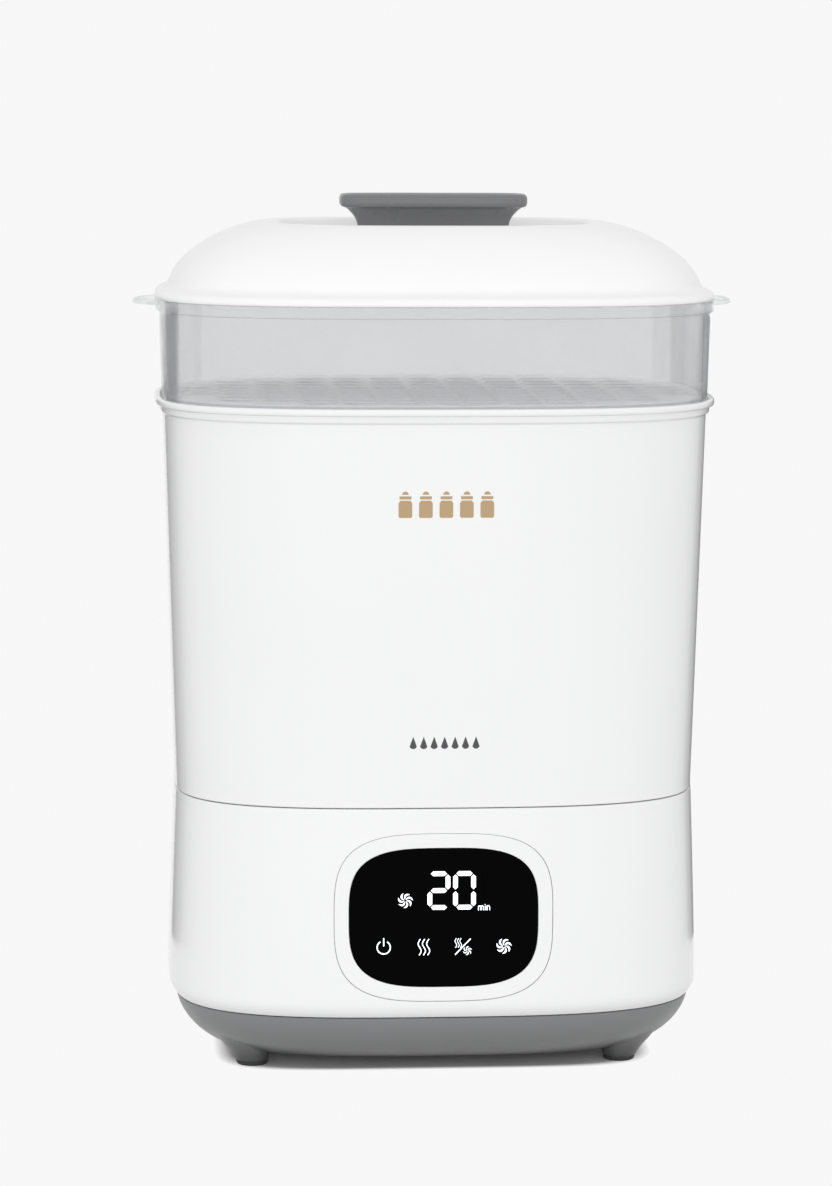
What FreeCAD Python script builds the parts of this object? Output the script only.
import FreeCAD, Part
import math
import os

from FreeCAD import Vector

# Bottle steriliser and dryer, in millimetres.
# +X is to the user's right, -Y is the front with the control panel, +Z is up.
# The origin is on the table under the centre of the body.
# From the table up: a base, a bottle basket, a see-through accessory tray and a lid.

# Plan outline: a superellipse whose half depth is a fixed amount less than its half width.
PLAN_POWER = 3.2
PLAN_POINTS = 40
DEPTH_INSET = 39.5
WALL = 2.4

# Heights above the table.
PAN_BOTTOM = 6.0
PAN_TOP = 31.0
BELLY_Z = 39.0
DECK_TOP = 120.0
BASE_TOP = 131.0
BASKET_BOTTOM = 131.4
BASKET_FLOOR_TOP = 135.4
BASKET_RIM_Z = 311.8
TRAY_SEAT = 316.2
BASKET_TOP = 319.3
TRAY_BAND_Z = 360.3
TRAY_TOP = 365.8
LID_BOTTOM = 366.1
DOME_START = 372.0
LID_CROWN = 401.8
HANDLE_TOP = 415.0

# Half widths along X.
PAN_FLAT_HALF = 97.0
PAN_TOP_HALF = 124.8
BELLY_HALF = 128.3
BASE_TOP_HALF = 125.3
BASKET_BOTTOM_HALF = 125.1
BASKET_TOP_HALF = 130.1
RIM_HALF = 134.0
TRAY_BOTTOM_HALF = 130.6
TRAY_TOP_HALF = 131.6
TRAY_BAND_HALF = 133.2
EAR_TIP_HALF = 144.4
LID_RIM_HALF = 133.5
DOME_BASE_HALF = 126.7
CROWN_HALF = 80.0

# Feet and screws.
FOOT_X = 88.7
FOOT_Y = 44.0
FOOT_RADIUS = 7.6
FOOT_PAD = 2.1
FOOT_PLUG_TOP = 4.4
SCREW_X = 60.0
SCREW_Y = 45.0

# Control panel on the front face: half width and half height.
PANEL_Z = 79.5
PANEL_POWER = 3.35
BEZEL_HALF = (51.6, 39.9)
GLASS_HALF = (44.6, 33.6)
PANEL_GAP = 0.15
BOARD_HALF = (41.0, 28.0)
BOARD_FRONT = -82.4
BOARD_THICKNESS = 1.6

# Heating dish, and the air duct beside it.
DISH_X = -30.0
DISH_RADIUS = 46.0
DUCT_X = 72.0
DUCT_RADIUS = 26.0

# Rear air filter and mains inlet.
FILTER_Z = 76.0
FILTER_HALF = (34.0, 22.0)
FILTER_CORNER = 6.0
FOAM_HALF = (28.9, 16.9)
FOAM_Y = (79.0, 84.0)
FOAM_FRAME_Y = (78.5, 86.4)
FOAM_FRAME = 2.0
INLET_X = -72.0
INLET_Z = 60.0
INLET_HALF = (14.0, 10.0)
INLET_CORNER = 3.0
INLET_CAVITY = (11.6, 7.4)
PIN_PITCH = 8.6
PIN_RADIUS = 1.2

# Skirt under the basket, which sits inside the base's rim.
SKIRT_HALF = 121.5
SKIRT_BOTTOM = 124.4

# Bottle rack: two rows of four places, with four fins at each.
BOTTLE_PITCH_X = 56.0
BOTTLE_PITCH_Y = 68.0
RACK_Z = 136.0
RACK_PLATE = 2.5
RACK_TOP = 200.0
FIN_TOP = 184.0
FIN_RADIUS = 17.0
FIN_HALF = (3.2, 1.0)
DRAIN_RADIUS = 13.0

# Accessory tray floor: columns and rows of openings.
TRAY_FLOOR_Z = 318.2
TRAY_FLOOR = 2.0
CELL_X = 19.0
CELL_Y = 18.0
CELL_HALF = (7.6, 5.6)

# Lift tabs on the tray's ends.
EAR_RADIUS = 34.0
EAR_Z = 362.9
EAR_THICKNESS = 2.4

# Lid well and handle.
WELL_HALF = (73.5, 51.0)
WELL_FLOOR = 387.0
HANDLE_SCREW_X = 22.0
HANDLE_INSET = 29.4
HANDLE_POWER = 5.0


def superellipse(half_x, half_y, z, power=PLAN_POWER, points=PLAN_POINTS):
    """Closed smooth wire |x/half_x|^power + |y/half_y|^power = 1 at height z."""
    rim = []
    for k in range(points):
        angle = 2 * math.pi * k / points
        c, s = math.cos(angle), math.sin(angle)
        reach = (abs(c / half_x) ** power + abs(s / half_y) ** power) ** (-1 / power)
        rim.append(Vector(reach * c, reach * s, z))
    curve = Part.BSplineCurve()
    curve.interpolate(rim, PeriodicFlag=True)
    return Part.Wire([curve.toShape()])


def tower(levels, inset=DEPTH_INSET, power=PLAN_POWER):
    """Solid through plan outlines given as (height, half width)."""
    return Part.makeLoft([superellipse(a, a - inset, z, power) for z, a in levels], True, True)


def slab(half, z_low, z_high):
    return tower([(z_low, half), (z_high, half)])


def shrunk(levels, wall):
    return [(z, a - wall) for z, a in levels]


def box(x_low, x_high, y_low, y_high, z_low, z_high):
    return Part.makeBox(x_high - x_low, y_high - y_low, z_high - z_low, Vector(x_low, y_low, z_low))


def rod(x, y, z_low, z_high, radius):
    return Part.makeCylinder(radius, z_high - z_low, Vector(x, y, z_low))


def cone(x, y, z_low, z_high, radius_low, radius_high):
    return Part.makeCone(radius_low, radius_high, z_high - z_low, Vector(x, y, z_low))


def tube(x, y, z_low, z_high, radius_in, radius_out):
    return rod(x, y, z_low, z_high, radius_out).cut(rod(x, y, z_low, z_high, radius_in))


def fuse(shapes):
    return shapes[0].multiFuse(shapes[1:]).removeSplitter()


def four_corners(x, y):
    return [(sx * x, sy * y) for sx in (-1, 1) for sy in (-1, 1)]


def facing_prism(half_x, half_z, x, z, y_low, y_high, power):
    """Prism along Y with a superellipse section in the XZ plane."""
    outline = superellipse(half_x, half_z, 0, power)
    turn = FreeCAD.Rotation(Vector(1, 0, 0), 90)
    outline.Placement = FreeCAD.Placement(Vector(x, y_high, z), turn)
    return Part.Face(outline).extrude(Vector(0, y_low - y_high, 0))


def rounded_prism(half_x, half_z, x, z, y_low, y_high, corner):
    """Prism along Y with a round-cornered rectangular section in the XZ plane."""
    block = box(x - half_x, x + half_x, y_low, y_high, z - half_z, z + half_z)
    return block.makeFillet(corner, [e for e in block.Edges if e.BoundBox.YLength > 1])


# Outer profiles, as (height, half width).

def pan_levels(steps=7):
    """The bowl under the base: flat below, then a round tuck up to the seam."""
    levels = []
    for k in range(steps + 1):
        angle = math.pi / 2 * (1 - k / steps)
        reach = math.cos(angle) ** 1.2
        drop = math.sin(angle) ** 1.2
        half = PAN_FLAT_HALF + (PAN_TOP_HALF - PAN_FLAT_HALF) * reach
        levels.append((PAN_TOP - (PAN_TOP - PAN_BOTTOM) * drop, half))
    return levels


def housing_half(z):
    """Half width of the base housing: widest at the belly, tucked in below, tapered above."""
    if z < BELLY_Z:
        share = (BELLY_Z - z) / (BELLY_Z - PAN_TOP)
        return BELLY_HALF - (BELLY_HALF - PAN_TOP_HALF) * share ** 2.4
    share = (z - BELLY_Z) / (BASE_TOP - BELLY_Z)
    return BELLY_HALF - (BELLY_HALF - BASE_TOP_HALF) * share ** 1.15


HOUSING_HEIGHTS = (31.4, 32.6, 34.2, 36.4, 39, 46, 60, 80, 105, 130.2)
HOUSING_LEVELS = [(z, housing_half(z)) for z in HOUSING_HEIGHTS]
HOUSING_LEVELS += [(130.8, BASE_TOP_HALF - 0.3), (BASE_TOP, BASE_TOP_HALF - 0.7)]

BASKET_LEVELS = [
    (BASKET_BOTTOM, BASKET_BOTTOM_HALF - 0.6),
    (131.8, BASKET_BOTTOM_HALF - 0.2),
    (133.5, BASKET_BOTTOM_HALF),
    (BASKET_RIM_Z, BASKET_TOP_HALF),
    (312.6, BASKET_TOP_HALF + 1.6),
    (315.6, BASKET_TOP_HALF + 1.8),
    (316.1, RIM_HALF - 0.3),
    (317.6, RIM_HALF),
    (318.8, RIM_HALF - 0.4),
    (BASKET_TOP, RIM_HALF - 1.1),
]

TRAY_LEVELS = [
    (TRAY_SEAT, TRAY_BOTTOM_HALF - 0.3),
    (317.5, TRAY_BOTTOM_HALF),
    (TRAY_BAND_Z, TRAY_TOP_HALF),
    (TRAY_BAND_Z + 0.6, TRAY_BAND_HALF),
    (TRAY_TOP - 0.6, TRAY_BAND_HALF + 0.2),
    (TRAY_TOP, TRAY_BAND_HALF - 0.2),
]


def dome_wires(wall=0.0, steps=9):
    """Plan outlines of the lid's dome, from its foot to the crown, or a wall's thickness inside it."""
    depth_share = (DOME_BASE_HALF - DEPTH_INSET) / DOME_BASE_HALF
    wires = []
    for k in range(steps + 1):
        angle = math.pi / 2 * k / steps
        half = CROWN_HALF + (DOME_BASE_HALF - CROWN_HALF) * math.cos(angle) ** 1.25
        z = DOME_START + (LID_CROWN - DOME_START) * math.sin(angle) ** 1.25
        lean = wall * math.sin(angle)
        wires.append(superellipse(half - wall, half * depth_share - wall, z - lean))
    return wires


# Base, fixed pieces.

def housing_outer():
    return tower(HOUSING_LEVELS)


def housing_inner(wall=WALL):
    levels = shrunk(HOUSING_LEVELS, wall)
    levels[0] = (levels[0][0] - 1, levels[0][1])
    levels[-1] = (BASE_TOP + 1, levels[-1][1] + 0.2)
    return tower(levels)


def base_housing():
    shell = housing_outer().cut(housing_inner())
    ledge = slab(housing_half(DECK_TOP) - 1, DECK_TOP - 5.2, DECK_TOP - 2.6)
    ledge = ledge.cut(slab(housing_half(DECK_TOP) - WALL - 4, DECK_TOP - 6, DECK_TOP - 2))
    shell = shell.fuse(ledge)
    window = panel_prism(BEZEL_HALF)
    filter_hole = rounded_prism(*FILTER_HALF, 0, FILTER_Z, 60, 110, FILTER_CORNER)
    inlet_hole = rounded_prism(*INLET_HALF, INLET_X, INLET_Z, 60, 110, INLET_CORNER)
    return shell.cut(window.fuse([filter_hole, inlet_hole]))


def base_deck():
    plate = slab(housing_half(DECK_TOP) - WALL - 0.3, DECK_TOP - 2.5, DECK_TOP)
    bosses = [rod(x, y, 102, DECK_TOP - 1, 4.2) for x, y in four_corners(SCREW_X, SCREW_Y)]
    holes = [rod(x, y, 100, 115, 1.6) for x, y in four_corners(SCREW_X, SCREW_Y)]
    holes.append(rod(DISH_X, 0, 100, 130, DISH_RADIUS + 1.6))
    holes.append(rod(DUCT_X, 0, 100, 130, DUCT_RADIUS - 4))
    return fuse([plate] + bosses).cut(Part.makeCompound(holes))


def base_pan():
    bowl = tower(pan_levels()).cut(tower([(z + WALL, a - WALL) for z, a in pan_levels()]))
    leg_bottom = FOOT_PAD + 0.1
    leg_radii = (FOOT_RADIUS + 0.3, FOOT_RADIUS + 4.8)
    legs = [cone(x, y, leg_bottom, 13, *leg_radii) for x, y in four_corners(FOOT_X, FOOT_Y)]
    corners = four_corners(SCREW_X, SCREW_Y)
    posts = [rod(x, y, PAN_BOTTOM + 1, 101.8, 5.4) for x, y in corners]
    standoffs = [rod(x, y, PAN_BOTTOM + 1, 22, 3) for x, y in four_corners(38, 28)]
    body = fuse([bowl] + legs + posts + standoffs)
    wells = [rod(x, y, 0, 92, 3.8) for x, y in corners]
    wells += [rod(x, y, 0, 110, 1.8) for x, y in corners]
    socket_top = FOOT_PLUG_TOP + 0.2
    sockets = [rod(x, y, 0, socket_top, FOOT_RADIUS - 2) for x, y in four_corners(FOOT_X, FOOT_Y)]
    return body.cut(Part.makeCompound(wells + sockets))


def rubber_feet():
    feet = []
    for x, y in four_corners(FOOT_X, FOOT_Y):
        pad = cone(x, y, 0, FOOT_PAD, FOOT_RADIUS - 0.5, FOOT_RADIUS + 0.1)
        pad = pad.makeFillet(0.6, [e for e in pad.Edges if e.BoundBox.ZMax < 0.1])
        feet.append(fuse([pad, rod(x, y, FOOT_PAD - 0.1, FOOT_PLUG_TOP, FOOT_RADIUS - 2.1)]))
    return Part.makeCompound(feet)


def base_screws():
    screws = []
    for x, y in four_corners(SCREW_X, SCREW_Y):
        head = rod(x, y, 89.6, 91.9, 3.2).cut(box(x - 0.5, x + 0.5, y - 2.4, y + 2.4, 89, 90.6))
        screws.append(fuse([head, rod(x, y, 91.5, 113, 1.5)]))
    return Part.makeCompound(screws)


def panel_prism(half, gap=0.0):
    return facing_prism(half[0] - gap, half[1] - gap, 0, PANEL_Z, -110, -60, PANEL_POWER)


def panel_bezel():
    ring = panel_prism(BEZEL_HALF, PANEL_GAP).cut(panel_prism(GLASS_HALF))
    return ring.common(housing_outer()).cut(housing_inner())


def panel_glass():
    return panel_prism(GLASS_HALF, PANEL_GAP).common(housing_inner(0.3)).cut(housing_inner())


def display_board():
    x, z = BOARD_HALF
    return box(-x, x, BOARD_FRONT, BOARD_FRONT + BOARD_THICKNESS, PANEL_Z - z, PANEL_Z + z)


def touch_springs():
    springs = []
    for k in range(4):
        foot = Vector(-28.5 + 19 * k, BOARD_FRONT - 0.1, 66)
        springs.append(Part.makeCylinder(3.5, 2.2, foot, Vector(0, -1, 0)))
    return Part.makeCompound(springs)


def power_board():
    return box(-45, 45, -34, 34, 22.1, 23.7)


def board_parts():
    relay = box(-38, -20, -20, -5, 23.8, 39)
    transformer = box(-12, 12, -14, 14, 23.8, 46)
    capacitors = [rod(30, y, 23.8, 44, 6) for y in (-16, 2)]
    terminal = box(-38, -18, 10, 20, 23.8, 34)
    return Part.makeCompound([relay, transformer, terminal] + capacitors)


def heating_plate():
    """Pressed steel dish: a flange on the seal, a wall and a flat bottom."""
    flange = tube(DISH_X, 0, 121.1, 122.3, DISH_RADIUS - 1.2, DISH_RADIUS + 8)
    wall = tube(DISH_X, 0, 110, 122.3, DISH_RADIUS - 1.2, DISH_RADIUS)
    floor = rod(DISH_X, 0, 110, 111.2, DISH_RADIUS)
    dish = fuse([flange, wall, floor])
    edge = [e for e in dish.Edges if e.BoundBox.ZMax < 110.1 and e.BoundBox.XLength > 80]
    return dish.makeFillet(1.0, edge)


def plate_seal():
    return tube(DISH_X, 0, DECK_TOP + 0.05, 121.05, DISH_RADIUS + 2, DISH_RADIUS + 7.5)


def heating_element():
    """Tubular element in a 300 degree turn under the dish, with two terminal pins."""
    turn = Part.makeTorus(32, 3.4, Vector(DISH_X, 0, 106.5), Vector(0, 0, 1), 0, 360, 300)
    pins = []
    for degrees in (4, 296):
        x = DISH_X + 32 * math.cos(math.radians(degrees))
        y = 32 * math.sin(math.radians(degrees))
        pins.append(rod(x, y, 94, 106, 1.6))
    return fuse([turn] + pins)


def thermostat():
    cup = rod(DISH_X, 0, 101, 109.8, 8)
    tabs = [box(DISH_X + x - 0.4, DISH_X + x + 0.4, -3, 3, 94, 102) for x in (-5, 5)]
    return fuse([cup] + tabs)


def thermal_fuse():
    return Part.makeCylinder(2.2, 12, Vector(DISH_X - 6, 16, 107.5), Vector(1, 0, 0))


def air_duct():
    """Upright duct under the outlet, with a three-armed cup that carries the motor."""
    pipe = tube(DUCT_X, 0, 44, 117.4, DUCT_RADIUS, DUCT_RADIUS + 2)
    cup = tube(DUCT_X, 0, 46, 64, 12.05, 14)
    base = rod(DUCT_X, 0, 44, 46, 14).cut(rod(DUCT_X, 0, 40, 50, 5))
    arms = []
    for k in range(3):
        arm = box(12.6, DUCT_RADIUS + 1, -1.2, 1.2, 46, 62)
        arm.rotate(Vector(0, 0, 0), Vector(0, 0, 1), 120 * k + 60)
        arm.translate(Vector(DUCT_X, 0, 0))
        arms.append(arm)
    return fuse([pipe, cup, base] + arms)


def fan_motor():
    return rod(DUCT_X, 0, 46.1, 65, 12).cut(rod(DUCT_X, 0, 50, 66, 1.56))


def motor_shaft():
    return rod(DUCT_X, 0, 51, 82, 1.5)


def fan_impeller():
    """Seven leaning blades on a hub that is pushed onto the shaft."""
    hub = tube(DUCT_X, 0, 67, 80, 1.5, 7)
    blades = []
    for k in range(7):
        blade = box(6, 24.6, -0.7, 0.7, 69, 79)
        blade.rotate(Vector(0, 0, 74), Vector(1, 0, 0), 38)
        blade.rotate(Vector(0, 0, 0), Vector(0, 0, 1), 360 / 7 * k)
        blade.translate(Vector(DUCT_X, 0, 0))
        blades.append(blade)
    return fuse([hub] + blades)


def air_heater():
    """Ceramic heater block with through slots, resting in the duct."""
    block = rod(DUCT_X, 0, 90, 104, DUCT_RADIUS - 0.3)
    slots = [box(DUCT_X - 16, DUCT_X + 16, y - 1.6, y + 1.6, 88, 106) for y in range(-15, 16, 6)]
    return block.cut(Part.makeCompound(slots))


def outlet_cap():
    """Low cap over the hot air outlet: a slotted side and a closed top that sheds drips."""
    skirt = tube(DUCT_X, 0, DECK_TOP + 0.1, 126, DUCT_RADIUS - 1.5, DUCT_RADIUS)
    top = cone(DUCT_X, 0, 126, 129, DUCT_RADIUS, DUCT_RADIUS - 7)
    slots = []
    for k in range(12):
        slot = box(10, DUCT_RADIUS + 2, -2.6, 2.6, 121.6, 125)
        slot.rotate(Vector(0, 0, 0), Vector(0, 0, 1), 30 * k + 15)
        slot.translate(Vector(DUCT_X, 0, 0))
        slots.append(slot)
    return fuse([skirt, top]).cut(Part.makeCompound(slots))


def power_inlet():
    """Flush two-pin mains inlet in the rear of the housing."""
    half_x, half_z = INLET_HALF
    corner = INLET_CORNER - 0.2
    body = rounded_prism(half_x - 0.2, half_z - 0.2, INLET_X, INLET_Z, 62, 100, corner)
    cavity = rounded_prism(*INLET_CAVITY, INLET_X, INLET_Z, 69, 100, INLET_CORNER)
    body = body.common(housing_outer()).cut(cavity)
    for side in (-PIN_PITCH / 2, PIN_PITCH / 2):
        foot = Vector(INLET_X + side, 68, INLET_Z - 2.5)
        body = body.fuse(Part.makeCylinder(PIN_RADIUS, 12, foot, Vector(0, 1, 0)))
    return body


# Base, moving pieces.

def filter_cover():
    """Louvred cover of the rear air intake, pulled off to change the filter."""
    half_x, half_z = FILTER_HALF
    corner = FILTER_CORNER - 0.3
    plate = rounded_prism(half_x - 0.3, half_z - 0.3, 0, FILTER_Z, 60, 110, corner)
    plate = plate.common(housing_outer()).cut(housing_inner())
    slots = [box(-26, 26, 60, 110, FILTER_Z + z - 1.3, FILTER_Z + z + 1.3) for z in range(-15, 16, 5)]
    plate = plate.cut(Part.makeCompound(slots))
    x, z = FOAM_HALF[0] + 0.1, FOAM_HALF[1] + 0.1
    hole = box(-x, x, FOAM_FRAME_Y[0] - 1, 100, FILTER_Z - z, FILTER_Z + z)
    x, z = x + FOAM_FRAME, z + FOAM_FRAME
    frame = box(-x, x, *FOAM_FRAME_Y, FILTER_Z - z, FILTER_Z + z)
    return fuse([plate, frame.cut(hole)])


def air_filter():
    x, z = FOAM_HALF
    return box(-x, x, *FOAM_Y, FILTER_Z - z, FILTER_Z + z)


# Basket and bottle rack.

def basket_shell():
    """Bottle basket: tapered wall, beaded rim with a seat for the tray, and an open floor."""
    hollow = tower([
        (BASKET_FLOOR_TOP, BASKET_BOTTOM_HALF - WALL),
        (BASKET_RIM_Z, BASKET_TOP_HALF - WALL),
        (BASKET_TOP + 1, BASKET_TOP_HALF - WALL),
    ])
    shell = tower(BASKET_LEVELS).cut(hollow)
    shell = shell.cut(slab(TRAY_BOTTOM_HALF + 0.5, TRAY_SEAT - 0.3, BASKET_TOP + 1))
    skirt = slab(SKIRT_HALF, SKIRT_BOTTOM, 132.4).cut(slab(SKIRT_HALF - 2.2, 124, 132.6))
    opening = tower([(123, 100), (137, 100)])
    return fuse([shell, skirt]).cut(opening)


def bottle_places():
    places = []
    for column in range(4):
        for row in range(2):
            places.append(((column - 1.5) * BOTTLE_PITCH_X, (row - 0.5) * BOTTLE_PITCH_Y))
    return places


def bottle_rack():
    """Lift-out rack: a plate with a drain hole at each of eight places, and a grip."""
    plate = slab(116, RACK_Z, RACK_Z + RACK_PLATE)
    holes = [rod(x, y, RACK_Z - 1, RACK_Z + 4, DRAIN_RADIUS) for x, y in bottle_places()]
    post = rod(0, 0, RACK_Z, RACK_TOP, 5)
    bar = box(-16, 16, -5, 5, RACK_TOP - 8, RACK_TOP)
    return fuse([plate.cut(Part.makeCompound(holes)), post, bar])


def rack_fins():
    """Upright fins that stand on the rack's plate around each bottle's neck."""
    fins = []
    for x, y in bottle_places():
        for turn in range(4):
            degrees = 90 * turn + 45
            fin = box(-FIN_HALF[0], FIN_HALF[0], -FIN_HALF[1], FIN_HALF[1], RACK_Z + RACK_PLATE, FIN_TOP)
            fin.translate(Vector(FIN_RADIUS, 0, 0))
            fin.rotate(Vector(0, 0, 0), Vector(0, 0, 1), degrees)
            fin.translate(Vector(x, y, 0))
            fins.append(fin)
    return Part.makeCompound(fins)


# Accessory tray.

def tray_ear(side):
    """Thin lift tab on one end of the tray, rounded in plan."""
    tab = rod(side * (EAR_TIP_HALF - EAR_RADIUS), 0, EAR_Z, EAR_Z + EAR_THICKNESS, EAR_RADIUS)
    return tab.common(box(*sorted((side * 128, side * 150)), -40, 40, EAR_Z - 1, EAR_Z + 4))


def accessory_tray():
    """Clear tray: wall, thicker top band, two lift tabs and a floor full of openings."""
    inner = tower(shrunk([
        (TRAY_FLOOR_Z + TRAY_FLOOR, TRAY_BOTTOM_HALF),
        (TRAY_BAND_Z, TRAY_TOP_HALF),
        (TRAY_TOP + 1, TRAY_TOP_HALF + 0.1),
    ], WALL))
    recess = slab(TRAY_BOTTOM_HALF - WALL, TRAY_SEAT - 1, TRAY_FLOOR_Z)
    body = fuse([tower(TRAY_LEVELS), tray_ear(-1), tray_ear(1)]).cut(inner).cut(recess)
    openings = []
    cell = superellipse(*CELL_HALF, TRAY_FLOOR_Z - 1, 2.6, 16)
    cell = Part.Face(cell).extrude(Vector(0, 0, TRAY_FLOOR + 2))
    limit = TRAY_BOTTOM_HALF - WALL - 4
    for column in range(-6, 7):
        for row in range(-4, 5):
            x = column * CELL_X
            y = row * CELL_Y
            far_x = (abs(x) + CELL_HALF[0]) / limit
            far_y = (abs(y) + CELL_HALF[1]) / (limit - DEPTH_INSET)
            if far_x ** PLAN_POWER + far_y ** PLAN_POWER < 1:
                openings.append(cell.translated(Vector(x, y, 0)))
    return body.cut(Part.makeCompound(openings))


# Lid.

def lid_dome():
    """Domed lid with a turned-out rim, and a well under the handle with steam vents in its floor."""
    rim = [
        (LID_BOTTOM, LID_RIM_HALF - 0.5),
        (366.8, LID_RIM_HALF),
        (368.4, LID_RIM_HALF - 0.3),
        (369.9, LID_RIM_HALF - 1.9),
        (371.1, LID_RIM_HALF - 4.6),
    ]
    rim_wires = [superellipse(a, a - DEPTH_INSET, z) for z, a in rim]
    mouth = DOME_BASE_HALF - WALL
    mouth_wire = superellipse(mouth, mouth - DEPTH_INSET, LID_BOTTOM - 1)
    shell = Part.makeLoft(rim_wires + dome_wires(), True, True)
    shell = shell.cut(Part.makeLoft([mouth_wire] + dome_wires(WALL), True, True))
    outer_well = Part.makeLoft([
        superellipse(WELL_HALF[0] - 3, WELL_HALF[1] - 3, WELL_FLOOR - WALL),
        superellipse(WELL_HALF[0] + WALL, WELL_HALF[1] + WALL, LID_CROWN - 1.2),
    ], True, True)
    inner_well = Part.makeLoft([
        superellipse(WELL_HALF[0] - 5.4, WELL_HALF[1] - 5.4, WELL_FLOOR),
        superellipse(WELL_HALF[0] - 1.2, WELL_HALF[1] - 1.2, LID_CROWN - 1.6),
        superellipse(WELL_HALF[0], WELL_HALF[1], LID_CROWN - 0.5),
        superellipse(WELL_HALF[0] + 1, WELL_HALF[1] + 1, LID_CROWN + 0.2),
    ], True, True)
    shell = shell.fuse(outer_well).cut(inner_well)
    cuts = [rod(x, 0, WELL_FLOOR - 4, WELL_FLOOR + 1, 1.9) for x in (-HANDLE_SCREW_X, HANDLE_SCREW_X)]
    for side in (-1, 1):
        for k in range(4):
            x = side * (48 + 4.5 * k)
            cuts.append(box(x - 1, x + 1, -13, 13, WELL_FLOOR - 4, WELL_FLOOR + 1))
    return shell.cut(Part.makeCompound(cuts))


def lid_handle():
    """Grip bar: a beaded top that flares out over a narrower neck."""
    grip = tower([
        (WELL_FLOOR + 0.05, 35.3),
        (398.0, 35.5),
        (401.5, 36.3),
        (404.5, 38.0),
        (406.8, 40.1),
        (408.4, 42.0),
        (409.2, 43.6),
        (411.0, 44.4),
        (413.4, 44.2),
        (414.6, 43.4),
        (HANDLE_TOP, 42.2),
    ], HANDLE_INSET, HANDLE_POWER)
    pilots = [rod(x, 0, WELL_FLOOR - 1, 401, 1.6) for x in (-HANDLE_SCREW_X, HANDLE_SCREW_X)]
    return grip.cut(Part.makeCompound(pilots))


def handle_screws():
    screws = []
    for x in (-HANDLE_SCREW_X, HANDLE_SCREW_X):
        head_top = WELL_FLOOR - WALL - 0.05
        head = cone(x, 0, head_top - 2.2, head_top, 2.4, 3.4)
        screws.append(fuse([head, rod(x, 0, head_top - 0.5, 398, 1.5)]))
    return Part.makeCompound(screws)


PARTS = [
    base_housing, base_deck, base_pan, rubber_feet, base_screws,
    panel_bezel, panel_glass, display_board, touch_springs, power_board, board_parts,
    heating_plate, plate_seal, heating_element, thermostat, thermal_fuse,
    air_duct, fan_motor, motor_shaft, fan_impeller, air_heater, outlet_cap,
    power_inlet, filter_cover, air_filter,
    basket_shell, bottle_rack, rack_fins, accessory_tray,
    lid_dome, lid_handle, handle_screws,
]

os.makedirs("parts", exist_ok=True)
for part in PARTS:
    shape = part()
    name = part.__name__
    print(name, "valid" if shape.isValid() else "INVALID", len(shape.Solids), round(shape.Volume))
    shape.exportStep("parts/" + name + ".step")
